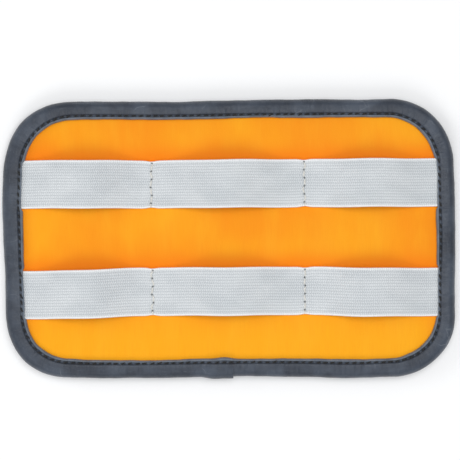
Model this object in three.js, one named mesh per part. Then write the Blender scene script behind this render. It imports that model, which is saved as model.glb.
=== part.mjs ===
// Cable organizer panel: padded layers held in a folded edge binding, with two elastic bands sewn across
// the lining so that each band makes three loops.
//
// Millimetres. X runs along the length and Y across the width. +Z points out of the lining.
// The panel lies on its back: the binding's back leg is on z = 0, and the origin is under the centre.

import * as THREE from "three";

// ---- Driving dimensions ----

const panelLength = 188;
const panelWidth = 115;
const cornerRadius = 26;
const layerGap = 0.3; // clearance between pieces that lie on each other

const tape = {
  thickness: 0.9,
  cover: 7.7, // how far each leg reaches in from the outer edge
  edgeRound: 3.2, // how far in from the outer edge the fold starts
};

const lap = {
  end: 1.4, // where the top end of the tape stops, along the lower side
  run: 14, // how far the buried end reaches under it
  ramp: 6, // over how much of that the tape rises
  lift: 0.8, // how much the doubled tape stands out
  step: 0.5, // the length of the step at the cut end
};

const seam = {
  inset: 6.2, // from the outer edge to the middle of the stitching
  stitch: 3,
  threadRadius: 0.2,
  grooveWidth: 0.9,
  frontGrooveDepth: 0.45,
  backGrooveDepth: 0.6,
};

const thickness = { backCover: 0.8, board: 0.8, foam: 1.6, lining: 0.4 };

const band = {
  width: 20,
  thickness: 1,
  rise: 6.5, // how high the slack of a loop stands at its middle
  tabReach: 0.7, // how far an end tab shows beyond the binding
  stripWidth: 2, // the part that a stitch row holds down
};

const bandCentres = { upper: 22.7, lower: -21.8 };
const rowPositions = { left: -32, right: 31.5 };

const row = { stitch: 3.5, threadRadius: 0.2, crest: 0.3, edgeMargin: 0.8, threadGap: 0.15 };

// ---- Heights, from the back up ----

const backCoverBase = tape.thickness + layerGap;
const boardBase = backCoverBase + thickness.backCover + layerGap;
const foamBase = boardBase + thickness.board + layerGap;
const liningBase = foamBase + thickness.foam + layerGap;
const bandBase = liningBase + thickness.lining + layerGap;
const frontLegBase = bandBase + band.thickness + layerGap;
const panelThickness = frontLegBase + tape.thickness;

const layerInset = tape.edgeRound + layerGap;
const openingHalfLength = panelLength / 2 - tape.cover;

// ---- Materials ----

function material(colour, roughness) {
  return new THREE.MeshStandardMaterial({ color: colour, roughness, metalness: 0 });
}

const fauxLeather = material("#4d535e", 0.5);
const orangeNylon = material("#f79a26", 0.45);
const greyElastic = material("#c9cfd3", 0.8);
const foam = material("#e9e7e0", 0.9);
const board = material("#3a3c40", 0.6);
const darkThread = material("#17191d", 0.6);
const creamThread = material("#e4dfd0", 0.7);

// ---- The rounded edge of the panel ----

// Each corner is followed, anticlockwise, by the straight side that leads to the next one.
const cornerX = panelLength / 2 - cornerRadius;
const cornerY = panelWidth / 2 - cornerRadius;
const corners = [
  { x: cornerX, y: -cornerY, startAngle: -Math.PI / 2, sideLength: 2 * cornerY },
  { x: cornerX, y: cornerY, startAngle: 0, sideLength: 2 * cornerX },
  { x: -cornerX, y: cornerY, startAngle: Math.PI / 2, sideLength: 2 * cornerY },
  { x: -cornerX, y: -cornerY, startAngle: Math.PI, sideLength: 2 * cornerX },
];

function cornerArc(inset) {
  return ((cornerRadius - inset) * Math.PI) / 2;
}

function edgeLength(inset) {
  return 4 * cornerArc(inset) + 4 * (cornerX + cornerY);
}

// A place on the edge is the point one corner radius inside it, and the angle that points straight out.
// In a corner the point stays still and the angle turns, and on a side the point slides along.
function edgePlace(distance, inset) {
  const arc = cornerArc(inset);
  let left = distance;
  for (const corner of corners) {
    if (left <= arc) {
      return { x: corner.x, y: corner.y, angle: corner.startAngle + ((left / arc) * Math.PI) / 2 };
    }
    left -= arc;
    if (left <= corner.sideLength) {
      const angle = corner.startAngle + Math.PI / 2;
      return { x: corner.x - Math.sin(angle) * left, y: corner.y + Math.cos(angle) * left, angle };
    }
    left -= corner.sideLength;
  }
  return edgePlace(left, inset);
}

// Joins closed sections, one at each place round the edge, into one ring.
// A section is a list of [distance out from the outer edge, height], anticlockwise.
function ringOf(places, sections) {
  const positions = [];
  const triangles = [];
  const count = sections[0].length;
  places.forEach((place, i) => {
    for (const [out, height] of sections[i]) {
      const reach = cornerRadius + out;
      positions.push(place.x + reach * Math.cos(place.angle), place.y + reach * Math.sin(place.angle), height);
    }
    const here = i * count;
    const next = ((i + 1) % places.length) * count;
    for (let k = 0; k < count; k += 1) {
      const k2 = (k + 1) % count;
      triangles.push(here + k, next + k, next + k2, here + k, next + k2, here + k2);
    }
  });
  const geometry = new THREE.BufferGeometry();
  geometry.setAttribute("position", new THREE.Float32BufferAttribute(positions, 3));
  geometry.setIndex(triangles);
  geometry.computeVertexNormals();
  return geometry;
}

// ---- Edge binding ----

function ellipsePoints(centre, radii, startAngle, endAngle, steps) {
  return Array.from({ length: steps + 1 }, (_, i) => {
    const angle = startAngle + ((endAngle - startAngle) * i) / steps;
    return [centre[0] + radii[0] * Math.cos(angle), centre[1] + radii[1] * Math.sin(angle)];
  });
}

// The folded tape, cut across. The lift thickens it on the outside and the front, where its ends overlap.
function tapeSection(lift) {
  const { cover, edgeRound, thickness: wall } = tape;
  const middle = panelThickness / 2;
  const grooveOuter = -seam.inset + seam.grooveWidth / 2;
  const grooveInner = -seam.inset - seam.grooveWidth / 2;
  const front = panelThickness + lift;
  return [
    [-cover, 0],
    [grooveInner, 0],
    [grooveInner, seam.backGrooveDepth],
    [grooveOuter, seam.backGrooveDepth],
    [grooveOuter, 0],
    ...ellipsePoints([-edgeRound, middle], [edgeRound + lift, middle], -Math.PI / 2, 0, 5),
    ...ellipsePoints([-edgeRound, middle], [edgeRound + lift, front - middle], 0, Math.PI / 2, 5).slice(1),
    [grooveOuter, front],
    [grooveOuter, front - seam.frontGrooveDepth],
    [grooveInner, front - seam.frontGrooveDepth],
    [grooveInner, front],
    [-cover, front],
    [-cover, frontLegBase],
    ...ellipsePoints([-edgeRound, middle], [edgeRound - wall, middle - wall], Math.PI / 2, -Math.PI / 2, 6),
    [-cover, wall],
  ];
}

// How much the overlap lifts the tape at a place: nothing away from it, and a short step at the cut end.
function lapLift(place) {
  if (place.y > -cornerY || Math.abs(place.x) >= cornerX) return 0;
  const fromEnd = place.x - lap.end;
  const rising = (fromEnd + lap.run) / lap.ramp;
  const falling = 1 - fromEnd / lap.step;
  return lap.lift * Math.max(0, Math.min(1, rising, falling));
}

function edgeBinding() {
  const cornerSteps = 8;
  const arc = cornerArc(0);
  const places = [];
  let start = 0;
  for (const corner of corners) {
    for (let i = 0; i <= cornerSteps; i += 1) {
      places.push(edgePlace(start + (arc * i) / cornerSteps, 0));
    }
    start += arc + corner.sideLength;
  }
  // The lower side is the last one, and runs from -cornerX to +cornerX.
  for (const x of [lap.end - lap.run, lap.end - lap.run + lap.ramp, lap.end, lap.end + lap.step]) {
    places.push(edgePlace(start - cornerX + x, 0));
  }
  return ringOf(places, places.map((place) => tapeSection(lapLift(place))));
}

// One thread of the seam through both legs, rising over each stitch and dipping at each needle hole.
// It clears the highest tape within half a stitch of it.
function seamThread(crestHeight, dipHeight, lifted) {
  const length = edgeLength(seam.inset);
  const stitches = Math.round(length / seam.stitch);
  const halfStitch = length / (2 * stitches);
  const radii = [seam.threadRadius, seam.threadRadius];
  const places = [];
  const sections = [];
  for (let i = 0; i < 2 * stitches; i += 1) {
    const place = edgePlace(i * halfStitch, seam.inset);
    const before = lapLift({ ...place, x: place.x - halfStitch });
    const after = lapLift({ ...place, x: place.x + halfStitch });
    const lift = lifted ? Math.max(before, after) : 0;
    const height = (i % 2 === 0 ? dipHeight : crestHeight) + lift;
    places.push(place);
    sections.push(ellipsePoints([-seam.inset, height], radii, 0, 1.5 * Math.PI, 3));
  }
  return ringOf(places, sections);
}

function frontSeamThread() {
  const crest = panelThickness + 0.05;
  return seamThread(crest, crest - 0.15, true);
}

function backSeamThread() {
  const crest = seam.threadRadius + 0.02;
  return seamThread(crest, crest + 0.15, false);
}

// ---- Flat layers inside the binding ----

function layer(height, inset = layerInset) {
  const halfLength = panelLength / 2 - inset;
  const halfWidth = panelWidth / 2 - inset;
  const radius = cornerRadius - inset;
  const outline = new THREE.Shape();
  outline.absarc(halfLength - radius, -halfWidth + radius, radius, -Math.PI / 2, 0);
  outline.absarc(halfLength - radius, halfWidth - radius, radius, 0, Math.PI / 2);
  outline.absarc(-halfLength + radius, halfWidth - radius, radius, Math.PI / 2, Math.PI);
  outline.absarc(-halfLength + radius, -halfWidth + radius, radius, Math.PI, 1.5 * Math.PI);
  return new THREE.ExtrudeGeometry(outline, { depth: height, bevelEnabled: false, curveSegments: 8 });
}

// ---- Elastic bands ----

// A flat stretch of band, from one X to another, lying on the plane z = 0.
function flatBand(from, to) {
  const geometry = new THREE.BoxGeometry(to - from, band.width, band.thickness);
  geometry.translate((from + to) / 2, 0, band.thickness / 2);
  return geometry;
}

// A loop is held flat at both ends, and its slack stands up in between in one smooth wave.
function loopHeight(share) {
  return (band.rise * (1 - Math.cos(2 * Math.PI * share))) / 2;
}

function loopedBand(from, to) {
  const steps = 20;
  const underside = Array.from({ length: steps + 1 }, (_, i) => {
    return new THREE.Vector2(from + ((to - from) * i) / steps, loopHeight(i / steps));
  });
  const topside = underside.map((point) => new THREE.Vector2(point.x, point.y + band.thickness));
  const side = new THREE.Shape([...underside, ...topside.reverse()]);
  const geometry = new THREE.ExtrudeGeometry(side, { depth: band.width, bevelEnabled: false });
  geometry.rotateX(Math.PI / 2);
  geometry.translate(0, band.width / 2, 0);
  return geometry;
}

// The visible thread of a stitch row: it rises over each stitch and dips at each needle hole.
function rowThread(x) {
  const reach = band.width / 2 - row.edgeMargin;
  const stitches = Math.round((2 * reach) / row.stitch);
  const dipHeight = band.thickness + row.threadGap + row.threadRadius;
  const points = Array.from({ length: 2 * stitches + 1 }, (_, i) => {
    const height = dipHeight + (i % 2) * row.crest;
    return new THREE.Vector3(x, -reach + (reach * i) / stitches, height);
  });
  const path = new THREE.CatmullRomCurve3(points);
  const section = new THREE.Shape().absarc(0, 0, row.threadRadius, 0, 2 * Math.PI);
  return new THREE.ExtrudeGeometry(section, {
    extrudePath: path,
    steps: 4 * stitches,
    curveSegments: 3,
    bevelEnabled: false,
  });
}

// ---- Assembly ----

const organizer = new THREE.Group();

function add(name, geometry, look, x = 0, y = 0, z = 0) {
  const mesh = new THREE.Mesh(geometry, look);
  mesh.name = name;
  mesh.position.set(x, y, z);
  organizer.add(mesh);
}

add("back_cover", layer(thickness.backCover), fauxLeather, 0, 0, backCoverBase);
add("stiffener_board", layer(thickness.board), board, 0, 0, boardBase);
add("foam_padding", layer(thickness.foam), foam, 0, 0, foamBase);
add("lining", layer(thickness.lining), orangeNylon, 0, 0, liningBase);
add("edge_binding", edgeBinding(), fauxLeather);
add("binding_needle_thread", frontSeamThread(), darkThread);
add("binding_bobbin_thread", backSeamThread(), darkThread);

const tabStart = panelLength / 2 - layerInset;
const tabEnd = openingHalfLength - band.tabReach;
const halfStrip = band.stripWidth / 2;
const clearStrip = halfStrip + layerGap;
const loopSpans = {
  left: [-tabEnd + layerGap, rowPositions.left - clearStrip],
  middle: [rowPositions.left + clearStrip, rowPositions.right - clearStrip],
  right: [rowPositions.right + clearStrip, tabEnd - layerGap],
};

for (const [bandName, y] of Object.entries(bandCentres)) {
  add(`${bandName}_band_left_tab`, flatBand(-tabStart, -tabEnd), greyElastic, 0, y, bandBase);
  add(`${bandName}_band_right_tab`, flatBand(tabEnd, tabStart), greyElastic, 0, y, bandBase);
  for (const [side, x] of Object.entries(rowPositions)) {
    const strip = flatBand(x - halfStrip, x + halfStrip);
    add(`${bandName}_band_${side}_sewn_strip`, strip, greyElastic, 0, y, bandBase);
    add(`${bandName}_band_${side}_row_thread`, rowThread(x), creamThread, 0, y, bandBase);
  }
  for (const [place, [from, to]] of Object.entries(loopSpans)) {
    add(`${bandName}_${place}_loop`, loopedBand(from, to), greyElastic, 0, y, bandBase);
  }
}

export default organizer;
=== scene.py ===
"""Looks for the cable organizer panel: faux-leather binding, nylon lining, knitted elastic and stitching.

Shapes are worked out in millimetres, on the frame's axes, and turned into metres when a mesh is made.
"""

import math

import bpy
import numpy as np
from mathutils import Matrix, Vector


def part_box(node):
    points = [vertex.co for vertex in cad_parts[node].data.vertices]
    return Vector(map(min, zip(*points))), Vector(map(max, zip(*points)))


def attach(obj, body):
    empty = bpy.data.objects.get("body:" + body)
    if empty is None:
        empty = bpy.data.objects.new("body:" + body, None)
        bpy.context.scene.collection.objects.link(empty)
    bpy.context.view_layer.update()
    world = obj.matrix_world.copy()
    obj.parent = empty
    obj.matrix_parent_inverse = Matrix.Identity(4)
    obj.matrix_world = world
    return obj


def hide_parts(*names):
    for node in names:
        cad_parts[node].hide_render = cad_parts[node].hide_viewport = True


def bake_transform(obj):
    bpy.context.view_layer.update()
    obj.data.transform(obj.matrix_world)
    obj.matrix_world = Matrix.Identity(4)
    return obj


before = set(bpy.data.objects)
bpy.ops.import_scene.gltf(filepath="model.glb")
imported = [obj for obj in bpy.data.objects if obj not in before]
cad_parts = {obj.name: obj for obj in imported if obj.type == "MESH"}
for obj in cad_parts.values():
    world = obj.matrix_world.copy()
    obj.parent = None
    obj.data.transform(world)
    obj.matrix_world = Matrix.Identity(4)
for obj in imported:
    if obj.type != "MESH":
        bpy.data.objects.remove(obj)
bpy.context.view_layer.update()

MM = 0.001


def box_mm(node):
    low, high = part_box(node)
    return np.array(low) / MM, np.array(high) / MM


# ---- Places read from the frame ----

binding_low, binding_high = box_mm("edge_binding")
tab_low, tab_high = box_mm("upper_band_left_tab")
LENGTH = binding_high[0] - binding_low[0]
WIDTH = 2 * binding_high[1]  # the tape's overlap stands out on the lower side only
HALF = np.array([LENGTH / 2, WIDTH / 2])
COVER_LOW, COVER_HIGH = (corner[2] for corner in box_mm("back_cover"))
FOAM_LOW, FOAM_HIGH = (corner[2] for corner in box_mm("foam_padding"))
LINING_LOW, LINING_HIGH = (corner[2] for corner in box_mm("lining"))
LAYER_INSET = binding_high[0] - box_mm("lining")[1][0]
BAND_LOW, BAND_HIGH = tab_low[2], tab_high[2]
BAND_WIDTH = tab_high[1] - tab_low[1]
BAND_CENTRE = {name: box_mm(f"{name}_band_left_tab")[1][1] - BAND_WIDTH / 2 for name in ("upper", "lower")}
SEWN_STRIPS = [box_mm(f"upper_band_{side}_sewn_strip") for side in ("left", "right")]
ROW_X = [(low[0] + high[0]) / 2 for low, high in SEWN_STRIPS]
TAB_OUTER = box_mm("upper_band_right_tab")[1][0]
LOOPS = ("left", "middle", "right")

# ---- Sizes that the frame doesn't hold ----

THICKNESS = 8.2  # of the panel at its binding
TAPE = 0.9
FOLD = 3.2  # how far in from the outer edge the fold starts
CORNER_RADII = (26.0, 26.0, 29.0, 26.0)  # lower right, upper right, upper left, lower left
SEAM_INSET = 6.2  # of the binding's seam, from the outer edge
SEAM_STITCH = 3.0
LAP_END = 1.4  # where the tape's overlap ends on the lower side, from the middle
LAP_RUN = 14.0  # how long the overlap is
LAP_RAMP = 6.0  # how soon the tape has risen over its other end
LAP_LIFT = 0.8
RIBS = 17  # of a band, side by side
BAND_RIM = 0.4  # how far in from a band's edge its rounding starts
ROW_STITCH = 3.5
ROW_FIRST_HOLE = 9.3  # of a row, from the middle of its band
ROW_PINCH = 0.042  # the share of its width that a band loses at a stitch row

SHEET_HALF = HALF - LAYER_INSET
SHEET_RADIUS = CORNER_RADII[0] - LAYER_INSET

# The panel was sewn a little out of square: how far each corner lies from the drawn rectangle.
SKEW = {
    "upper_left": (-0.2, -0.7),
    "upper_right": (-0.3, 0.4),
    "lower_right": (0, 0.35),
    "lower_left": (1.2, -0.3),
}


# ---- Small functions of shape ----


def side_bows(x, y):
    """How far the left and right sides bow to the right, and the upper and lower sides bow down."""
    left = np.where(y > 14, 0.04 * (y - 14), 0.021 * (14 - y)) * (1 - smooth((np.abs(y) - 34) / 20))
    right = 0.5 * bell(y, 0, 14) - 0.8 * smooth((y - 22) / 22) + 0.6 * smooth((-30 - y) / 14)
    upper = 0.55 * bell(x, -28, 32)
    lower = 0.5 * bell(x, -42, 25) + 0.6 * bell(x, 50, 14)
    return left, right, upper, lower


def beside(share):
    """1 at one side of the panel, falling quickly to 0 towards the other, where share is 0."""
    return np.clip(share, 0, 1) ** 3


def sewn(points):
    """Moves points as the panel is out of true: its corners are skewed and its sides bow a little."""
    points = np.array(points, float)
    x, y = points[..., 0].copy(), points[..., 1].copy()
    across = x / LENGTH + 0.5
    up = y / WIDTH + 0.5
    shares = {
        "upper_left": (1 - across) * up,
        "upper_right": across * up,
        "lower_right": across * (1 - up),
        "lower_left": (1 - across) * (1 - up),
    }
    for name, share in shares.items():
        points[..., 0] += share * SKEW[name][0]
        points[..., 1] += share * SKEW[name][1]
    left, right, upper, lower = side_bows(x, y)
    points[..., 0] += beside(1 - across) * left + beside(across) * right
    points[..., 1] -= beside(up) * upper + beside(1 - up) * lower
    return points


def smooth(t):
    t = np.clip(t, 0, 1)
    return t * t * (3 - 2 * t)


def bell(x, centre, reach):
    """A smooth bump, 1 at the centre."""
    return np.exp(-(((x - centre) / reach) ** 2))


def ripple(share, waves, seed):
    """A smooth unevenness round a closed line, between about -1 and 1. share runs from 0 to 1."""
    draw = np.random.default_rng(seed)
    total = sum(draw.uniform(0.4, 1) * np.sin(2 * np.pi * (wave * share + draw.random())) for wave in waves)
    return total / math.sqrt(len(waves))


# ---- Meshes ----


def new_piece(name, points, faces, uv):
    """A smooth object from points of the true panel, with a UV map in millimetres of cloth."""
    mesh = bpy.data.meshes.new(name)
    mesh.from_pydata((sewn(points) * MM).reshape(-1, 3).tolist(), [], faces)
    corners = np.zeros(len(mesh.loops), np.int32)
    mesh.loops.foreach_get("vertex_index", corners)
    layer = mesh.uv_layers.new(name="cloth")
    layer.data.foreach_set("uv", uv.reshape(-1, 2)[corners].astype(np.float32).ravel())
    mesh.shade_smooth()
    piece = bpy.data.objects.new(name, mesh)
    bpy.context.scene.collection.objects.link(piece)
    return piece


def grid_faces(rows, columns, around, along, caps):
    """Four-sided faces between the points of a grid.

    around joins each row's ends, along joins the last row to the first, and caps closes a sleeve's ends.
    """
    index = np.arange(rows * columns).reshape(rows, columns)
    joined = np.vstack([index, index[:1]]) if along else index
    joined = np.hstack([joined, joined[:, :1]]) if around else joined
    quads = np.stack([joined[:-1, :-1], joined[1:, :-1], joined[1:, 1:], joined[:-1, 1:]], axis=-1)
    faces = quads.reshape(-1, 4).tolist()
    if caps:
        faces.append(index[0].tolist())
        faces.append(index[-1, ::-1].tolist())
    return faces


def surface(name, grid, uv, around=False, along=False, caps=False, sharp_degrees=60, shade=None):
    """A piece over a grid of points. shade is painted shade, darkening a material over 0, and a painted
    highlight, making leather paler under 0.
    """
    rows, columns = grid.shape[:2]
    piece = new_piece(name, grid, grid_faces(rows, columns, around, along, caps), uv)
    shade = np.zeros((rows, columns)) if shade is None else shade
    dark = piece.data.attributes.new("shade", "FLOAT", "POINT")
    dark.data.foreach_set("value", shade.ravel().astype(np.float32))
    piece.data.set_sharp_from_angle(angle=math.radians(sharp_degrees))
    return piece


def dress(piece, look, slot, *nodes):
    """Gives a piece its material and hides the CAD nodes that it stands for. slot is not used."""
    piece.data.materials.append(look)
    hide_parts(*nodes)


def fix_to_panel(piece, look, slot, node):
    """Dresses a piece that moves with the panel."""
    dress(piece, look, slot, node)
    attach(piece, "panel")


# ---- Materials ----


class Nodes:
    """Builds one material's node tree, with short calls for the nodes used here."""

    def __init__(self, name):
        self.material = bpy.data.materials.new(name)
        self.material.use_nodes = True
        self.tree = self.material.node_tree
        self.shader = self.tree.nodes["Principled BSDF"]

    def add(self, kind, inputs=None, **settings):
        node = self.tree.nodes.new(kind)
        for key, value in settings.items():
            setattr(node, key, value)
        for key, value in (inputs or {}).items():
            self.put(node.inputs[key], value)
        return node

    def put(self, socket, value):
        if isinstance(value, bpy.types.NodeSocket):
            self.tree.links.new(value, socket)
        else:
            socket.default_value = value

    def math(self, operation, a, b=0.0, c=0.0):
        return self.add("ShaderNodeMath", {0: a, 1: b, 2: c}, operation=operation).outputs[0]

    def mix(self, factor, a, b):
        node = self.add("ShaderNodeMix", data_type="RGBA")
        self.put(node.inputs[0], factor)
        self.put(node.inputs[6], a)
        self.put(node.inputs[7], b)
        return node.outputs[2]

    def ramp(self, value, low, high):
        """value, stretched so that low becomes 0 and high becomes 1."""
        inputs = {"Value": value, "From Min": low, "From Max": high}
        return self.add("ShaderNodeMapRange", inputs, interpolation_type="SMOOTHSTEP").outputs[0]

    def cloth(self):
        """The UV map as (along, across, 0), in millimetres of cloth."""
        return self.add("ShaderNodeUVMap", uv_map="cloth").outputs[0]

    def parts(self, vector):
        return self.add("ShaderNodeSeparateXYZ", {0: vector}).outputs

    def stretched(self, vector, scale):
        """The vector times a scale, which is one number or one for each axis."""
        scale = (scale,) * 3 if isinstance(scale, float) else scale
        return self.add("ShaderNodeVectorMath", {0: vector, 1: scale}, operation="MULTIPLY").outputs[0]

    def moved(self, vector, by):
        return self.add("ShaderNodeVectorMath", {0: vector, 1: by}).outputs[0]

    def cells(self, vector, scale, feature="F1"):
        inputs = {"Vector": vector, "Scale": scale}
        return self.add("ShaderNodeTexVoronoi", inputs, feature=feature).outputs[0]

    def noise(self, vector, scale, detail=2.0, roughness=0.5, distortion=0.0):
        inputs = {"Vector": vector, "Scale": scale, "Detail": detail, "Roughness": roughness}
        inputs["Distortion"] = distortion
        return self.add("ShaderNodeTexNoise", inputs).outputs[0]

    def warp(self, vector, scale, amount):
        """A wandering vector, to bend other patterns by."""
        inputs = {"Vector": vector, "Scale": scale, "Detail": 2.0}
        colour = self.add("ShaderNodeTexNoise", inputs).outputs["Color"]
        return self.stretched(colour, amount)

    def shade(self):
        return self.add("ShaderNodeAttribute", attribute_name="shade").outputs["Fac"]

    def bump(self, height, distance, strength=1.0, normal=None):
        inputs = {"Height": height, "Distance": distance * MM, "Strength": strength}
        node = self.add("ShaderNodeBump", inputs)
        if normal is not None:
            self.put(node.inputs["Normal"], normal)
        return node.outputs[0]

    def finish(self, colour, roughness, normal, **fixed):
        """Links the varying inputs, and sets the uniform ones on the shader itself."""
        self.put(self.shader.inputs["Base Color"], colour)
        self.put(self.shader.inputs["Roughness"], roughness)
        self.put(self.shader.inputs["Normal"], normal)
        for key, value in fixed.items():
            self.shader.inputs[key.replace("_", " ")].default_value = value
        return self.material


def rgb(red, green, blue):
    return (red, green, blue, 1.0)


def faux_leather(name, light, dark, cracked):
    """Coated cloth: a fine pebbled grain, soft puckers, scuffs, hairline cracks, painted shade and painted
    highlights.
    """
    n = Nodes(name)
    cloth = n.cloth()
    pebbles = n.cells(cloth, 1.9, "SMOOTH_F1")
    pores = n.noise(cloth, 5.0, 3.0, 0.6)
    creases = n.noise(n.stretched(cloth, (0.85, 0.16, 1.0)), 1.0, 3.0, 0.6, 0.6)
    scuffs = n.noise(n.stretched(cloth, (0.12, 1.4, 1.0)), 1.0, 4.0, 0.7, 1.2)
    cloudy = n.noise(cloth, 0.06, 3.0, 0.6)
    colour = n.mix(n.ramp(cloudy, 0.35, 0.68), dark, light)
    worn = n.mix(n.math("MULTIPLY", n.ramp(scuffs, 0.56, 0.76), 0.4), colour, rgb(0.15, 0.18, 0.215))
    bent = n.stretched(n.moved(cloth, n.warp(cloth, 0.25, 3.0)), 0.14)
    cracks = n.cells(bent, 1.0, "DISTANCE_TO_EDGE")
    patches = n.ramp(n.noise(n.stretched(cloth, 0.06), 1.0, 2.0), 0.54, 0.66)
    hairlines = n.math("MULTIPLY", n.math("SUBTRACT", 1.0, n.ramp(cracks, 0.006, 0.022)), patches)
    lined = n.mix(n.math("MULTIPLY", hairlines, cracked), worn, rgb(0.26, 0.29, 0.32))
    # Where shade is under 0, a painted highlight: on the binding's lip and on the leather between stitches.
    painted_highlight = n.mix(n.ramp(n.shade(), 0.0, -1.0), lined, rgb(0.15, 0.178, 0.215))
    flecks = n.ramp(n.noise(cloth, 1.7, 3.0, 0.7), 0.62, 0.74)
    flecked = n.mix(n.math("MULTIPLY", flecks, 0.4), painted_highlight, rgb(0.17, 0.2, 0.24))
    # Where shade is over 0, painted shade: along the binding's seam and on the face beside it.
    with_painted_shade = n.mix(n.ramp(n.shade(), 0.0, 1.0), flecked, rgb(0.005, 0.0055, 0.007))
    roughness = n.math("ADD", n.math("MULTIPLY", pores, 0.22), 0.34)
    height = n.math("ADD", n.math("MULTIPLY", pebbles, 0.6), n.math("MULTIPLY", pores, 0.5))
    coarse = n.bump(creases, 0.5, 0.8)
    normal = n.bump(height, 0.07, 0.6, coarse)
    fixed = {"Specular_IOR_Level": 0.34, "Sheen_Weight": 0.04, "Sheen_Roughness": 0.5}
    return n.finish(with_painted_shade, roughness, normal, **fixed)


def nylon(name):
    """A tight plain weave, smooth and slightly shiny, long soft strains with painted highlights, yellower by
    the lower side, redder painted shade.
    """
    n = Nodes(name)
    cloth = n.cloth()
    along, across = n.parts(cloth)[0:2]
    pitch = 2 * math.pi / 0.42
    warp = n.math("SINE", n.math("MULTIPLY", along, pitch))
    weft = n.math("SINE", n.math("MULTIPLY", across, pitch))
    weave = n.math("MULTIPLY", warp, weft)
    threads = n.noise(n.stretched(cloth, (3.5, 0.12, 1.0)), 1.0, 2.0, 0.6)
    strains = n.noise(n.stretched(cloth, (0.09, 0.02, 1.0)), 1.0, 3.0, 0.55, 0.3)
    cloudy = n.noise(cloth, 0.03, 2.0, 0.5)
    mottled = n.mix(n.ramp(cloudy, 0.3, 0.7), rgb(0.91, 0.285, 0.006), rgb(0.93, 0.36, 0.008))
    # Yellower towards the lower side.
    yellower_below = n.mix(n.ramp(across, -20.0, -45.0), mottled, rgb(0.94, 0.395, 0.008))
    # A painted highlight along the strains, standing in for sheen on their ridges.
    strain_highlight = n.mix(n.math("MULTIPLY", n.ramp(strains, 0.4, 0.75), 0.3), yellower_below, rgb(0.95, 0.45, 0.02))
    streaked = n.mix(n.math("MULTIPLY", n.ramp(threads, 0.3, 0.8), 0.16), strain_highlight, rgb(0.8, 0.2, 0.008))
    # Painted shade: redder where the shade attribute is set, above the bands and beside the binding.
    with_painted_shade = n.mix(n.shade(), streaked, rgb(0.88, 0.2, 0.004))
    roughness = n.math("ADD", n.math("MULTIPLY", threads, 0.12), 0.42)
    coarse = n.bump(strains, 0.5, 0.35)
    normal = n.bump(weave, 0.03, 0.5, coarse)
    return n.finish(with_painted_shade, roughness, normal, Specular_IOR_Level=0.08)


def knitted_elastic(name):
    """Knitted elastic: small slanting loops of yarn in each rib, paler at the edges, with darker gaps, and
    painted shade in the needle holes.
    """
    n = Nodes(name)
    cloth = n.cloth()
    along, across = n.parts(cloth)[0:2]
    rib = n.math("DIVIDE", across, BAND_WIDTH / RIBS)
    lean = n.math("PINGPONG", rib, 1.0)
    wander = n.math("MULTIPLY", n.noise(cloth, 0.5, 2.0), 0.5)
    slanting = n.math("ADD", n.math("DIVIDE", along, 0.9), n.math("MULTIPLY", lean, 0.75))
    yarn = n.math("SINE", n.math("MULTIPLY", n.math("ADD", slanting, wander), 2 * math.pi))
    gaps = n.math("POWER", n.math("ABSOLUTE", n.math("SINE", n.math("MULTIPLY", rib, math.pi))), 0.5)
    fuzz = n.noise(cloth, 4.0, 3.0, 0.7)
    cloudy = n.noise(n.stretched(cloth, (0.05, 0.1, 1.0)), 1.0, 2.0)
    edge = n.ramp(n.math("ABSOLUTE", across), BAND_WIDTH / 2 - 1.1, BAND_WIDTH / 2 - 0.5)
    body = n.mix(n.ramp(cloudy, 0.3, 0.7), rgb(0.55, 0.585, 0.61), rgb(0.67, 0.7, 0.72))
    pale = n.mix(n.math("MULTIPLY", n.ramp(yarn, -0.2, 1.0), 0.65), body, rgb(0.84, 0.86, 0.87))
    between = n.math("MULTIPLY", n.math("SUBTRACT", 1.0, gaps), 0.55)
    dark = n.math("ADD", between, n.math("MULTIPLY", n.ramp(fuzz, 0.5, 0.7), 0.3))
    ribbed = n.mix(dark, pale, rgb(0.3, 0.33, 0.35))
    selvage = n.mix(n.math("MULTIPLY", edge, 0.95), ribbed, rgb(0.9, 0.915, 0.925))
    # Painted shade in the needle holes, where the shade attribute is set.
    with_painted_shade = n.mix(n.shade(), selvage, rgb(0.05, 0.05, 0.045))
    height = n.math("ADD", n.math("MULTIPLY", yarn, 0.5), fuzz)
    normal = n.bump(height, 0.16, 0.8)
    return n.finish(with_painted_shade, 0.82, normal, Specular_IOR_Level=0.25, Sheen_Weight=0.3, Sheen_Roughness=0.6)


def sewing_thread(name, light, dark, roughness):
    """Two plies twisted together, with stray fibres."""
    n = Nodes(name)
    cloth = n.cloth()
    along, around = n.parts(cloth)[0:2]
    turn = n.math("ADD", n.math("DIVIDE", along, 0.55), around)
    plies = n.math("SINE", n.math("MULTIPLY", turn, 2 * math.pi))
    fibres = n.noise(n.stretched(cloth, (2.0, 9.0, 1.0)), 1.0, 3.0, 0.6)
    yarn = n.math("ADD", plies, fibres)
    colour = n.mix(n.ramp(yarn, -0.6, 1.2), dark, light)
    fixed = {"Specular_IOR_Level": 0.35, "Sheen_Weight": 0.2, "Sheen_Roughness": 0.5}
    return n.finish(colour, roughness, n.bump(yarn, 0.05, 0.8), **fixed)


def open_foam(name):
    """Pale open-cell foam."""
    n = Nodes(name)
    place = n.add("ShaderNodeTexCoord").outputs["Object"]
    bubbles = n.cells(place, 1400.0)
    colour = n.mix(bubbles, rgb(0.84, 0.82, 0.76), rgb(0.62, 0.6, 0.54))
    return n.finish(colour, 0.95, n.bump(bubbles, 0.3, 0.6))


def plastic_board(name):
    """Dark moulded plastic with a fine grain."""
    n = Nodes(name)
    place = n.add("ShaderNodeTexCoord").outputs["Object"]
    grain = n.noise(place, 2500.0, 3.0)
    colour = n.mix(n.ramp(grain, 0.3, 0.7), rgb(0.035, 0.036, 0.04), rgb(0.06, 0.062, 0.068))
    roughness = n.math("ADD", n.math("MULTIPLY", grain, 0.2), 0.45)
    return n.finish(colour, roughness, n.bump(grain, 0.05, 0.5))


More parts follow.
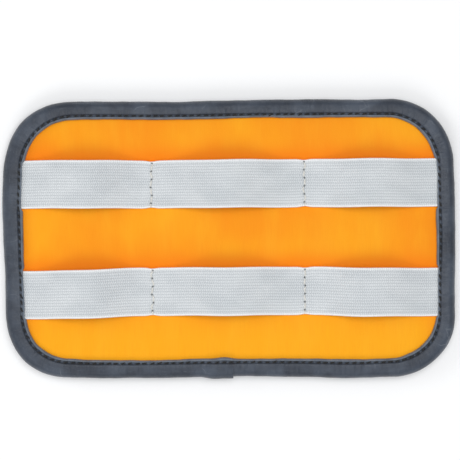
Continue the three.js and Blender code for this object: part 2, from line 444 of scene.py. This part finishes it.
BINDING_LEATHER = faux_leather("binding_leather", rgb(0.062, 0.077, 0.104), rgb(0.03, 0.037, 0.052), 0.38)
COVER_LEATHER = faux_leather("cover_leather", rgb(0.052, 0.061, 0.08), rgb(0.037, 0.045, 0.06), 0.06)
LINING_NYLON = nylon("lining_nylon")
ELASTIC = knitted_elastic("elastic")
DARK_THREAD = sewing_thread("dark_thread", rgb(0.009, 0.0095, 0.011), rgb(0.002, 0.002, 0.0025), 0.5)
CREAM_THREAD = sewing_thread("cream_thread", rgb(0.84, 0.83, 0.79), rgb(0.6, 0.58, 0.52), 0.7)


# ---- The rounded edge ----

CORNER_SIGNS = ((1, -1), (1, 1), (-1, 1), (-1, -1))
CENTRES = [np.array(sign) * (HALF - radius) for sign, radius in zip(CORNER_SIGNS, CORNER_RADII)]


def edge_stretches(inset):
    """The rounded edge, anticlockwise, as (start angle, turn, length, corner's centre, corner's radius).

    A straight side has no turn, and has the centre and radius of the corner before it.
    """
    stretches = []
    for i, radius in enumerate(CORNER_RADII):
        angle = (i - 1) * math.pi / 2
        stretches.append((angle, math.pi / 2, (radius - inset) * math.pi / 2, CENTRES[i], radius))
        angle += math.pi / 2
        forward = np.array([-math.sin(angle), math.cos(angle)])
        side = (CENTRES[(i + 1) % 4] - CENTRES[i]) @ forward
        stretches.append((angle, 0.0, side, CENTRES[i], radius))
    return stretches


def edge_length(inset):
    return sum(stretch[2] for stretch in edge_stretches(inset))


def edge_places(distances, inset):
    """Points on the outer edge, and the directions out from them.

    The distances are walked anticlockwise on the line that lies inset from the edge, from the start of the
    lower right corner to the end of the lower side.
    """
    points, outs = np.zeros((len(distances), 2)), np.zeros((len(distances), 2))
    begun = 0.0
    for angle, turn, length, centre, radius in edge_stretches(inset):
        here = (distances >= begun - 1e-9) & (distances <= begun + length)
        walked = distances[here] - begun
        angles = angle + turn * walked / length
        outs[here] = np.stack([np.cos(angles), np.sin(angles)], axis=-1)
        slide = np.array([-math.sin(angle), math.cos(angle)]) * (turn == 0)
        points[here] = centre + radius * outs[here] + np.outer(walked, slide)
        begun += length
    return points, outs


def lap_lift(points):
    """How much the overlap lifts the tape at places on the edge."""
    from_end = points[:, 0] - LAP_END
    lift = np.minimum(smooth((from_end + LAP_RUN) / LAP_RAMP), from_end <= 0)
    return np.where(points[:, 1] < -HALF[1] + 1, lift, 0.0) * LAP_LIFT


def over_band(points, margin):
    """1 where a place on the left or right side is over a band's end, falling to 0 within the margin."""
    near = np.zeros(len(points))
    for name in BAND_CENTRE:
        away = np.abs(points[:, 1] - band_line(name, points[:, 0])) - BAND_WIDTH / 2
        near = np.maximum(near, 1 - smooth(away / margin))
    return near * (np.abs(points[:, 0]) > HALF[0] - 1)


# ---- Edge binding ----

STATIONS_PER_STITCH = 5
STITCHES = round(edge_length(SEAM_INSET) / SEAM_STITCH)
THREAD_SIDES = 8
PLY_TURN = 1.1  # how far along a thread its plies take to turn once
LOWEST_THREAD = 0.26  # the lowest a back thread's centre line goes, so that it doesn't reach under the panel
LIP_ROUNDING = TAPE / 2


def tape_profile():
    """The folded tape cut across, anticlockwise: (inset from the outer edge, height, which surface)."""
    middle = THICKNESS / 2
    leg = np.concatenate([np.linspace(FOLD, 5.2, 5), np.linspace(5.45, 7.1, 12)])
    lip_end = leg[-1]
    turns = np.linspace(0, math.pi, 6)[1:-1]
    lip = [(lip_end + LIP_ROUNDING * 1.3 * math.sin(a), LIP_ROUNDING * (1 - math.cos(a))) for a in turns]
    fold = np.linspace(-math.pi / 2, math.pi / 2, 19)[1:-1]
    inside = np.linspace(math.pi / 2, -math.pi / 2, 9)
    back = [(d, 0.0, "back") for d in leg[::-1]]
    outer = [(FOLD - FOLD * math.cos(a), middle + middle * math.sin(a), "fold") for a in fold]
    front = [(d, THICKNESS, "front") for d in leg]
    front_lip = [(d, THICKNESS - drop, "front") for d, drop in lip]
    under = [(d, THICKNESS - TAPE, "front") for d in (lip_end, 6.2, 5.0)]
    hollow_depth, hollow_height = FOLD - TAPE, middle - TAPE
    hollow = [
        (FOLD - hollow_depth * math.cos(a), middle + hollow_height * math.sin(a), "inside") for a in inside
    ]
    over = [(d, TAPE, "back") for d in (5.0, 6.2, lip_end)]
    back_lip = [(d, rise, "back") for d, rise in lip[::-1]]
    rows = back + outer + front + front_lip + under + hollow + over + back_lip
    return tuple(np.array(column) for column in zip(*rows))


class Tape:
    """The folded tape: its rows are stations round the edge, and its columns run round its cross-section."""

    def __init__(self):
        self.total = edge_length(SEAM_INSET)
        even = np.arange(STITCHES * STATIONS_PER_STITCH) * self.total / (STITCHES * STATIONS_PER_STITCH)
        self.lap_distance = self.total - (HALF[0] - CORNER_RADII[0]) + LAP_END
        lap_step = [self.lap_distance - 0.01, self.lap_distance + 0.06]
        self.distances = np.sort(np.append(even, lap_step))
        self.share = (self.distances / self.total)[:, None]
        self.edge, self.outs = edge_places(self.distances, SEAM_INSET)
        self.lift = lap_lift(self.edge)[:, None]
        self.pressed = over_band(self.edge, 1.5)[:, None]
        self.gathers = smooth(np.abs(self.outs).min(axis=1)[:, None] / 0.3)
        self.inset, self.height, part = tape_profile()
        self.front, self.back, self.fold = part == "front", part == "back", part == "fold"
        front_skin = self.front & (self.height >= THICKNESS - TAPE / 2)
        self.skin = front_skin | self.back & (self.height <= TAPE / 2)
        self.from_seam = self.inset - SEAM_INSET
        self.angle = np.arctan2((self.height - THICKNESS / 2) / (THICKNESS / 2), (FOLD - self.inset) / FOLD)
        self.phase = self.distances[:, None] / (self.total / STITCHES)
        self.hole = bell((self.phase - np.round(self.phase)) * SEAM_STITCH, 0, 0.42)
        self.valley = bell(self.from_seam, 0, 0.42) * self.skin

    def relief(self):
        """How far the outer skin stands proud of a plain fold."""
        # Each stitch pulls the tape down in a valley, and the leather stands up between two stitches.
        past_seam = smooth((self.from_seam + 0.7) / 0.7) * self.skin
        pull = self.valley * (0.4 - 0.3 * self.hole) + 0.45 * past_seam
        # Puckers swell beside each stitch, and the tape gathers on the inside of the corners.
        uneven = 1 + 0.8 * ripple(self.share, (31, 47, 83), 3)
        pucker = 0.26 * np.sin(math.pi * self.phase) ** 2 * np.exp(-np.abs(self.from_seam) / 1.3) * uneven
        corner_folds = self.gathers * ripple(self.share, (97, 131, 173, 211), 4)
        gather = 0.26 * corner_folds * np.exp(-np.abs(self.from_seam) / 1.8)
        crown = 0.16 * np.sin(math.pi * np.clip((self.inset - FOLD) / (SEAM_INSET - FOLD), 0, 1))
        rumple = 0.11 * ripple(self.share, (19, 29, 43, 61), 5) * np.clip(self.inset / FOLD, 0, 1)
        # A band under the tape keeps it flatter.
        return ((crown + pucker + gather + rumple) * self.skin - pull) * (1 - 0.6 * self.pressed)

    def heights(self):
        relief = self.relief()
        loose = 1 - self.pressed
        # The front lip swells past the seam and its tip bends down, except where a band runs under it.
        droop = loose * 0.45 * smooth((self.inset - 7.0) / 0.7)
        swell = 0.14 * bell(self.inset, 6.95, 0.4)
        # Inside the fold, the tape follows its outer surface down at the seam, unless it lies on a band.
        follow = 0.45 * smooth((self.inset - 5.0) / 1.2) + 0.5 * bell(self.inset, SEAM_INSET, 0.5)
        under_drop = loose * follow * ~self.skin
        lap = self.lift * (1 - 0.35 * smooth((self.inset - 5.5) / 2))
        z = np.repeat(self.height[None, :], len(self.distances), axis=0)
        z = np.where(self.front, z + relief - under_drop - droop + swell + lap, z)
        z = np.where(self.back, z - 0.5 * np.minimum(relief, 0), z)
        return np.where(self.fold, z + self.lift * np.clip(np.sin(self.angle), 0, 1), z)

    def insets(self):
        """How far in from the panel's outer edge each point lies."""
        # The tape was pulled further over the front on the left side and at the right corners.
        left = smooth((-self.edge[:, :1] - 55) / 30)
        right = smooth((self.edge[:, :1] - 55) / 30)
        extra = 0.13 * left + 0.055 * right * (1 + self.gathers)
        wider = 1 + extra * smooth((self.inset - 3) / 2) * (self.height > THICKNESS / 2)
        # The outer edge and the lip wander a little, as hand-guided sewing does.
        outer = 0.18 * ripple(self.share, (3, 5, 8, 13, 21), 6) + 0.05 * ripple(self.share, (34, 55, 89), 7)
        inner = 0.2 * ripple(self.share, (4, 7, 11, 17), 8) + 0.06 * ripple(self.share, (41, 67), 9)
        # The lip draws back over a band, and comes further in beside the tape's overlap.
        by_lap = bell(self.edge[:, :1], LAP_END - 3.5, 4.0) * (self.edge[:, 1:] < -HALF[1] + 1)
        inner = inner + 0.6 * self.pressed - 0.6 * by_lap
        outward = np.where(self.fold, np.cos(self.angle), 0.0)
        lip = smooth(self.from_seam / 1.2) * self.front
        return self.inset * wider - outward * (self.lift + outer) - lip * inner

    def grid(self):
        plan = self.edge[:, None, :] - self.outs[:, None, :] * self.insets()[..., None]
        return np.concatenate([plan, self.heights()[..., None]], axis=-1)

    def uv(self):
        """Places along the tape from the end of its overlap, and across it."""
        step_in = np.diff(self.inset, prepend=self.inset[0])
        step_up = np.diff(self.height, prepend=self.height[0])
        across = np.cumsum(np.hypot(step_in, step_up))
        along = (self.distances - self.lap_distance) % self.total
        return np.stack(np.broadcast_arrays(along[:, None], across[None, :]), axis=-1)

    def shade(self):
        """Painted shade along the seam and beside it, and a painted highlight on the lip and between the
        stitches.
        """
        uneven = 1 + 0.3 * ripple(self.share, (37, 59, 101), 12)
        # A painted highlight on the lip.
        painted_highlight = 0.75 * smooth((self.inset - 6.65) / 0.35) * self.skin * uneven
        # Painted shade on the tape's face, growing from the fold in to the seam.
        painted_seam_shade = 0.2 * smooth((self.inset - 2.5) / 2.8) * smooth((6.3 - self.inset) / 0.4) * self.skin
        # Painted shade in the seam's valley, turning to a painted highlight at the needle holes between
        # stitches.
        return np.clip(painted_seam_shade + 0.25 * self.valley * (1 - 2.6 * self.hole) - painted_highlight, -1, 1)

    def seam_column(self, side):
        """The column that the seam runs along, on the front (side is 1) or on the back (side is -1)."""
        level = THICKNESS if side > 0 else 0.0
        return int(np.argmin(np.abs(self.from_seam) + THICKNESS * (self.height != level)))


def stitch_paths(tape, grid, side):
    """The centre line of each stitch of the seam. side is 1 on the front and -1 on the back."""
    pitch = tape.total / STITCHES
    draw = np.random.default_rng(11)
    column = tape.seam_column(side)
    wrapped = np.append(tape.distances, tape.total)
    line = np.vstack([grid[:, column], grid[:1, column]])
    normals = np.vstack([tape.outs, tape.outs[:1]])
    crest_of = np.max if side > 0 else np.min
    paths = []
    t = np.linspace(0, 1, 9)
    arch = np.sin(math.pi * t)
    for i in range(STITCHES):
        begin = i + 0.15 + draw.uniform(-0.05, 0.05)
        reach = 0.7 + draw.uniform(-0.08, 0.05)
        along = (begin + reach * t) * pitch
        path = np.stack([np.interp(along, wrapped, line[:, k]) for k in range(3)], axis=-1)
        out = np.stack([np.interp(along, wrapped, normals[:, k]) for k in range(2)], axis=-1)
        slant = (0.4 + draw.uniform(-0.24, 0.24)) * (1 - 2 * t)
        aside = draw.uniform(-0.17, 0.17)
        path[:, :2] += out * (slant + aside)[:, None]
        proud = 0.16 * arch**0.6 + 0.06 - 0.12 * (1 - arch)
        path[:, 2] = crest_of(path[:, 2]) + side * proud
        if side < 0:
            path[:, 2] = np.maximum(path[:, 2], LOWEST_THREAD)
        paths.append(path)
    return paths


def thread_rings(path, radius, turn):
    """Rings of points round a tapered thread with two plies, and the distances walked along it."""
    forward = np.gradient(path, axis=0)
    forward /= np.linalg.norm(forward, axis=1)[:, None]
    side = np.cross(forward, [0, 0, 1.0])
    side /= np.linalg.norm(side, axis=1)[:, None]
    up = np.cross(side, forward)
    walked = np.concatenate([[0], np.cumsum(np.linalg.norm(np.diff(path, axis=0), axis=1))])
    from_end = np.minimum(walked, walked[-1] - walked)
    thick = radius * (0.45 + 0.55 * smooth(from_end / (2 * radius)))
    plies = 1 + 0.12 * np.cos(2 * turn[None, :] - 2 * math.pi * walked[:, None] / PLY_TURN)
    ply = thick[:, None] * plies
    sideways = side[:, None, :] * (ply * np.cos(turn))[..., None]
    upwards = up[:, None, :] * (ply * np.sin(turn))[..., None]
    return path[:, None, :] + sideways + upwards, walked


def threads(name, paths, radius):
    """Short round threads in one mesh, tapered where each end goes into its needle hole."""
    turn = np.arange(THREAD_SIDES) * 2 * math.pi / THREAD_SIDES
    points, faces, uvs = [], [], []
    for path in paths:
        rings, walked = thread_rings(path, radius, turn)
        first = len(points) * rings.shape[0] * THREAD_SIDES
        tube = grid_faces(rings.shape[0], THREAD_SIDES, around=True, along=False, caps=True)
        faces.extend([first + corner for corner in face] for face in tube)
        points.append(rings)
        uvs.append(np.stack(np.broadcast_arrays(walked[:, None], turn / (2 * math.pi)), axis=-1))
    return new_piece(name, np.array(points), faces, np.array(uvs))


# ---- Elastic bands ----


def band_line(name, x):
    """The middle of a band, which sways a little. The lower band was caught low at both ends."""
    ends = smooth((-x + ROW_X[0]) / 50) * 1.3 + smooth((x - ROW_X[1]) / 50) * 0.7
    sway = 0.08 * np.sin(x / 4.3 + 5 * (name == "lower"))
    return BAND_CENTRE[name] + sway - ends * (name == "lower")


def loop_span(name, place):
    low, high = box_mm(f"{name}_{place}_loop")
    return low[0], high[0], high[2] - low[2] - (BAND_HIGH - BAND_LOW)


def band_height(name, x):
    """How high the band's underside stands above the lining."""
    height = np.zeros_like(x)
    for place in LOOPS:
        start, end, rise = loop_span(name, place)
        share = np.clip((x - start) / (end - start), 0, 1)
        height += rise * (1 - np.cos(2 * math.pi * share)) / 2
    return height


def row_holes():
    count = int((BAND_WIDTH / 2 + ROW_FIRST_HOLE) / ROW_STITCH) + 1
    return ROW_FIRST_HOLE - ROW_STITCH * np.arange(count)


def row_wander(y, seed):
    """How far a stitch row strays from its line at a place across the band."""
    draw = np.random.default_rng(seed)
    return 0.22 * np.sin(y * 0.9 + draw.uniform(0, 6)) + 0.12 * np.sin(y * 2.3 + draw.uniform(0, 6))


def band_stations(start, end):
    """Places along the band, close together near the stitch rows."""
    coarse = np.linspace(start, end, max(2, round((end - start) / 0.8)) + 1)
    fine = np.concatenate([row + np.linspace(-2.2, 2.2, 23) for row in ROW_X])
    every = np.sort(np.concatenate([coarse, fine[(fine > start + 0.05) & (fine < end - 0.05)]]))
    keep = np.append(np.diff(every) > 0.07, True)
    keep[0] = True
    return every[keep]


def sleeve_section():
    """A band cut across, as a closed line: places across the band, and heights from 0 to 1."""
    side = BAND_WIDTH / 2 - BAND_RIM
    rim = np.linspace(-math.pi / 2, math.pi / 2, 7)[1:-1]
    top = np.linspace(-side, side, RIBS * 6 + 1)
    bottom = np.linspace(side, -side, 24)
    y = np.concatenate([top, side + BAND_RIM * np.cos(rim[::-1]), bottom, -side - BAND_RIM * np.cos(rim)])
    rim_height = 0.5 + 0.5 * np.sin(rim)
    z = np.concatenate([np.ones(len(top)), rim_height[::-1], np.zeros(len(bottom)), rim_height])
    return y[None, :], z[None, :]


def needle_marks(x, y):
    """Where the rows' thread presses into a band, and where its needle holes are."""
    press = np.zeros(np.broadcast(x, y).shape)
    pits = np.zeros_like(press)
    for i, row in enumerate(ROW_X):
        from_row = x - row - row_wander(y, 31 + i)
        press = press + bell(from_row, 0, 0.55)
        for hole in row_holes():
            pits = pits + bell(from_row, 0, 0.3) * bell(y, hole, 0.28)
    return press, pits


def row_rucks(x, y):
    """How the rows gather a band: it puckers from hole to hole, and swells on both sides of a row."""
    puckers = np.cos(2 * math.pi * (y - ROW_FIRST_HOLE) / ROW_STITCH)
    rucks = 0
    for row in ROW_X:
        swell = bell(x, row - 1.6, 0.8) + bell(x, row + 1.6, 0.8)
        rucks = rucks - 0.16 * puckers * bell(x, row, 1.8) + 0.12 * swell
    return rucks


def band_piece(name, label, start, end):
    """One stretch of an elastic band, as a closed sleeve with ribs along it."""
    half = BAND_WIDTH / 2
    thick = BAND_HIGH - BAND_LOW
    x = band_stations(start, end)[:, None]
    y, z = sleeve_section()
    z = z * thick
    on_top = z > thick * 0.75

    rib = np.abs(np.sin(math.pi * (y + half) / BAND_WIDTH * RIBS))
    ribbed = -0.17 * (1 - rib**0.7) * (np.abs(y) < half - 0.9) + 0.1 * bell(np.abs(y), half - 0.55, 0.45)
    rise = band_height(name, x)
    slack = smooth(rise / 3)
    curl = slack * (0.1 * np.sin(x / 3.1 + y / 2.7) - 0.5 * (np.abs(y) / half) ** 4)
    pinch = 1 - ROW_PINCH * sum(bell(x, row, 2.0) for row in ROW_X)
    press, pits = needle_marks(x, y)
    skin = z + on_top * (ribbed - 0.28 * press - 0.5 * pits)
    grid = np.zeros(pits.shape + (3,))
    grid[..., 0] = x
    grid[..., 1] = band_line(name, x) + y * pinch
    grid[..., 2] = BAND_LOW + rise + np.maximum(skin, 0) + (curl + row_rucks(x, y)) * (z > 0.1 * thick)
    uv = np.stack(np.broadcast_arrays(x + 100, y), axis=-1)
    # Painted shade in the needle holes.
    shade = np.clip(pits * 1.5, 0, 1) * on_top
    return surface(label, grid, uv, around=True, caps=True, shade=shade)


def row_threads(name, row_index, label):
    """The stitches of one row across a band, from needle hole to needle hole."""
    row = ROW_X[row_index]
    holes = np.append(row_holes(), -BAND_WIDTH / 2 - 0.1)
    draw = np.random.default_rng(51 + row_index + 2 * (name == "lower"))
    t = np.linspace(0, 1, 11)
    paths = []
    for hole, next_hole in zip(holes[:-1], holes[1:]):
        y = hole + (next_hole - hole) * (0.13 + 0.74 * t)
        bow = draw.uniform(-0.4, 0.4) * np.sin(math.pi * t)
        x = row + row_wander(y, 31 + row_index) + bow
        z = BAND_HIGH - 0.42 + 0.5 * np.sin(math.pi * t) ** 0.5
        line = band_line(name, np.full_like(y, row))
        paths.append(np.stack([x, line + y * (1 - ROW_PINCH), z], axis=-1))
    return threads(label, paths, 0.3)


# ---- Sheets inside the binding ----


def from_rim(x, y):
    """How far in from the panel's rounded outer edge a place is."""
    radius = CORNER_RADII[0]
    into_x, into_y = np.abs(x) - (HALF[0] - radius), np.abs(y) - (HALF[1] - radius)
    from_corner = radius - np.hypot(np.maximum(into_x, 0), np.maximum(into_y, 0))
    from_side = np.minimum(HALF[0] - np.abs(x), HALF[1] - np.abs(y))
    return np.where((into_x > 0) & (into_y > 0), from_corner, from_side)


def lining_crown(x, y):
    """How far the foam pushes the lining up: least under the binding, and less under a band than beside."""
    inset = from_rim(x, y)
    swell = 0.3 * smooth((inset - 5.8) / 1.8) + 0.5 * smooth((inset - 6.5) / 14)
    soft = 0.12 * np.sin(x / 9.0 + 1) * np.sin(y / 7.0) + 0.07 * np.sin(x / 4.1 + y / 13.0)
    crown = swell * (1 + soft) + 0.01
    for name in BAND_CENTRE:
        from_band = smooth((np.abs(y - band_line(name, x)) - BAND_WIDTH / 2 + 0.5) / 9)
        room = 0.1 + 0.7 * band_height(name, x) + 2 * from_band
        crown = (crown**-3 + room**-3) ** (-1 / 3)
    return crown


def lining_painted_shade(x, y):
    """Painted shade on the lining, redder: along the upper edge of each band, and beside the binding at both
    ends.
    """
    painted_shade = 0.35 * (1 - smooth((HALF[0] - np.abs(x) - 7) / 9))
    for name in BAND_CENTRE:
        # Painted shade along each band's upper edge, where the open loops' shadow falls.
        painted_shade = np.maximum(painted_shade, 0.85 * bell(y, band_line(name, x) + BAND_WIDTH / 2, 5.5))
    return painted_shade


def cut_sheet(label, low, high, crown_low, crown_high, step, painted_shade=None):
    """A sheet with the panel's rounded outline, crowned on its lower and upper faces."""
    rows = np.linspace(-1, 1, round(2 * SHEET_HALF[1] / step) + 1)
    # The rows lie closer together towards the long sides, where the corners round off.
    bunched = 0.35 * np.sin(rows * math.pi / 2) + 0.65 * rows
    y = bunched[:, None] * SHEET_HALF[1]
    into_corner = np.clip(np.abs(y) - (SHEET_HALF[1] - SHEET_RADIUS), 0, SHEET_RADIUS)
    reach = SHEET_HALF[0] - SHEET_RADIUS + np.sqrt(SHEET_RADIUS**2 - into_corner**2)
    x = np.linspace(-1, 1, round(2 * SHEET_HALF[0] / step) + 1)[None, :] * reach
    y = y + 0 * x
    upper = np.stack([x, y, high + crown_high(x, y)], axis=-1)
    lower = np.stack([x, y, low + crown_low(x, y)], axis=-1)
    grid = np.concatenate([upper[:, ::-1], lower], axis=1)
    # The lining's painted shade, when one is given.
    shade = None if painted_shade is None else painted_shade(grid[..., 0], grid[..., 1])
    return surface(label, grid, grid[..., :2], around=True, caps=True, sharp_degrees=50, shade=shade)


def flat_face(x, _y):
    return 0 * x


def cover_bulge(x, y):
    """The back cover bows out a little between its seams."""
    bow = smooth((SHEET_HALF[0] - np.abs(x) - 3) / 22) * smooth((SHEET_HALF[1] - np.abs(y) - 3) / 20)
    return -(0.7 + 0.06 * np.sin(x / 11.0 + 2) * np.sin(y / 8.0)) * bow


# ---- Building the pieces ----

tape = Tape()
tape_grid = tape.grid()
tape_closed = {"around": True, "along": True, "sharp_degrees": 50}
binding = surface("folded_binding", tape_grid, tape.uv(), shade=tape.shade(), **tape_closed)
fix_to_panel(binding, BINDING_LEATHER, "binding_leather", "edge_binding")
TAPE_LENGTH = edge_length(0) + LAP_RUN

needle_thread = threads("binding_front_stitches", stitch_paths(tape, tape_grid, 1), 0.41)
fix_to_panel(needle_thread, DARK_THREAD, "dark_thread", "binding_needle_thread")

bobbin_thread = threads("binding_back_stitches", stitch_paths(tape, tape_grid, -1), 0.2)
fix_to_panel(bobbin_thread, DARK_THREAD, "dark_thread", "binding_bobbin_thread")

lining = cut_sheet("lining_cloth", LINING_LOW, LINING_HIGH, lining_crown, lining_crown, 1.1, lining_painted_shade)
fix_to_panel(lining, LINING_NYLON, "lining_nylon", "lining")

cover = cut_sheet("back_leather", COVER_LOW, COVER_HIGH, cover_bulge, flat_face, 1.6)
fix_to_panel(cover, COVER_LEATHER, "cover_leather", "back_cover")

foam = cut_sheet("foam_sheet", FOAM_LOW, FOAM_HIGH, flat_face, lining_crown, 2.5)
fix_to_panel(foam, open_foam("foam"), "foam", "foam_padding")

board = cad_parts["stiffener_board"].data
board.materials.clear()
board.materials.append(plastic_board("board"))


def half_loop(name, place, half, sewn_node, sewn_x, top_x):
    """Half a loop of elastic, from where it is sewn to the panel at one end to the top of its loop at the
    other.
    """
    ends = sorted((sewn_x, top_x))
    piece = band_piece(name, f"{name}_{place}_elastic_{half}", *ends)
    dress(piece, ELASTIC, "elastic", f"{name}_{place}_loop", f"{name}_band_{sewn_node}")
    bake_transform(piece)


for name in BAND_CENTRE:
    left_top, middle_top, right_top = (sum(loop_span(name, place)[:2]) / 2 for place in LOOPS)
    half_loop(name, "left", "outer", "left_tab", -TAB_OUTER, left_top)
    half_loop(name, "left", "inner", "left_sewn_strip", ROW_X[0], left_top)
    half_loop(name, "middle", "left", "left_sewn_strip", ROW_X[0], middle_top)
    half_loop(name, "middle", "right", "right_sewn_strip", ROW_X[1], middle_top)
    half_loop(name, "right", "inner", "right_sewn_strip", ROW_X[1], right_top)
    half_loop(name, "right", "outer", "right_tab", TAB_OUTER, right_top)
    for i, side in enumerate(("left", "right")):
        row = row_threads(name, i, f"{name}_{side}_row_stitches")
        fix_to_panel(row, CREAM_THREAD, "cream_thread", f"{name}_band_{side}_row_thread")

# ---- Floor, lights and camera ----


def plain_floor(half_size, drop, colour, roughness):
    """A square floor, a little under the part so that the two faces never share a height."""
    mesh = bpy.data.meshes.new("floor")
    corners = [(x * half_size, y * half_size, -drop) for x, y in ((-1, -1), (1, -1), (1, 1), (-1, 1))]
    mesh.from_pydata(corners, [], [(0, 1, 2, 3)])
    look = bpy.data.materials.new("floor")
    look.use_nodes = True
    shader = look.node_tree.nodes["Principled BSDF"]
    shader.inputs["Base Color"].default_value = colour
    shader.inputs["Roughness"].default_value = roughness
    mesh.materials.append(look)
    floor = bpy.data.objects.new("floor", mesh)
    bpy.context.scene.collection.objects.link(floor)


def soft_light(name, place, size, watts):
    """A square lamp that shines on the middle of the part."""
    light = bpy.data.lights.new(name, "AREA")
    light.shape = "SQUARE"
    light.size = size
    light.energy = watts
    lamp = bpy.data.objects.new(name, light)
    bpy.context.scene.collection.objects.link(lamp)
    lamp.location = place
    lamp.rotation_mode = "QUATERNION"
    lamp.rotation_quaternion = (-Vector(place)).to_track_quat("-Z", "Y")


plain_floor(half_size=3.0, drop=0.0003, colour=rgb(0.94, 0.94, 0.94), roughness=0.9)
soft_light("key", (-0.15, -0.75, 0.75), 0.45, 2.3)
soft_light("overhead", (0.1, 0.15, 1.3), 0.9, 10.2)
soft_light("left_fill", (-0.9, 0.25, 0.55), 0.5, 1.9)

world = bpy.data.worlds.new("studio")
world.use_nodes = True
background = world.node_tree.nodes["Background"]
background.inputs["Color"].default_value = rgb(0.95, 0.97, 1.0)
background.inputs["Strength"].default_value = 0.39
bpy.context.scene.world = world
bpy.context.scene.view_settings.view_transform = "Standard"

VIEW_WIDTH = 0.1909  # how much of the table the picture takes in, at the panel's height
CAMERA_HEIGHT = 0.75
PICTURE_CENTRE = (0.0007, 0.0034)
camera_data = bpy.data.cameras.new("camera")
camera_data.lens = camera_data.sensor_width * CAMERA_HEIGHT / VIEW_WIDTH
camera = bpy.data.objects.new("camera", camera_data)
bpy.context.scene.collection.objects.link(camera)
camera.location = (*PICTURE_CENTRE, CAMERA_HEIGHT + THICKNESS / 2 * MM)
bpy.context.scene.camera = camera
